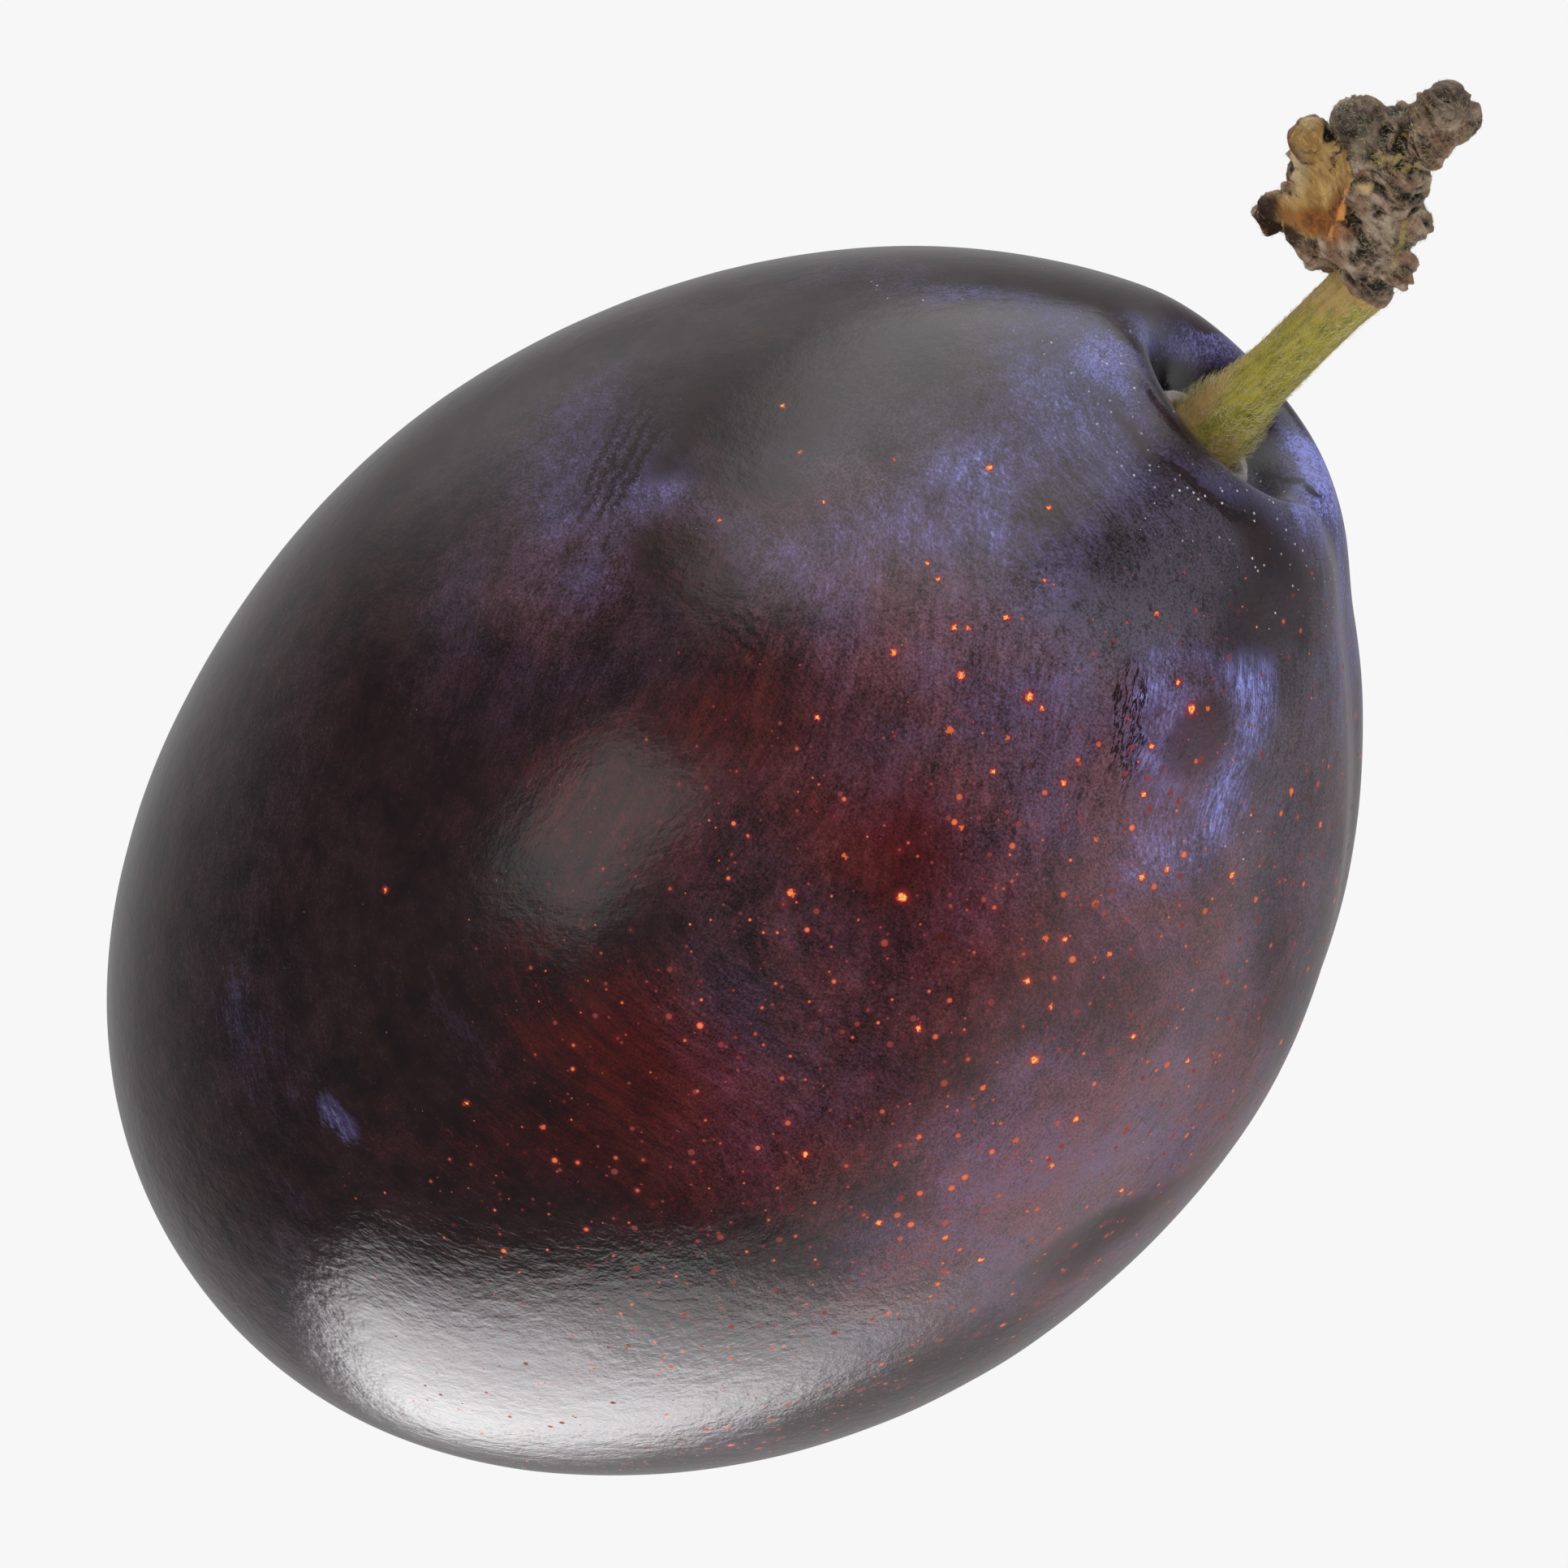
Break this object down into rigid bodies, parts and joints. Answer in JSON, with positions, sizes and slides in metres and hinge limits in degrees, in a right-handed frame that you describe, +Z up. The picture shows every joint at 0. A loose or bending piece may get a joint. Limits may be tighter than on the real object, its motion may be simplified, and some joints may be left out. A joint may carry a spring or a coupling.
{
  "type": "plum",
  "caption": "Oval dark plum lying on its cheek, with a hairy green stem rising from the hollow at one end and a gnarled stub of spur on the stem's tip.",
  "frame": {"origin": "middle of the flat spot on the cheek that the plum lies on, under its widest ring", "axes": "+X along the fruit's long axis, towards the stem; +Y towards the back, away from the suture groove; +Z up"},
  "size_m": [0.0703, 0.0424, 0.0411],
  "materials": {
    "fruit": "dark plum skin, smooth and half glossy under patches of pale waxy bloom",
    "stem": "yellow-green stalk with short pale hairs",
    "stem_ring": "dry pale grey ring, matt and wrinkled",
    "spur_stub": "rough grey-brown bark with one torn tan face"
  },
  "bodies": {
    "root": {"fruit": "fruit", "stem": "stem", "stem_ring": "stem_ring", "spur_stub": "spur_stub"}
  },
  "joints": []
}
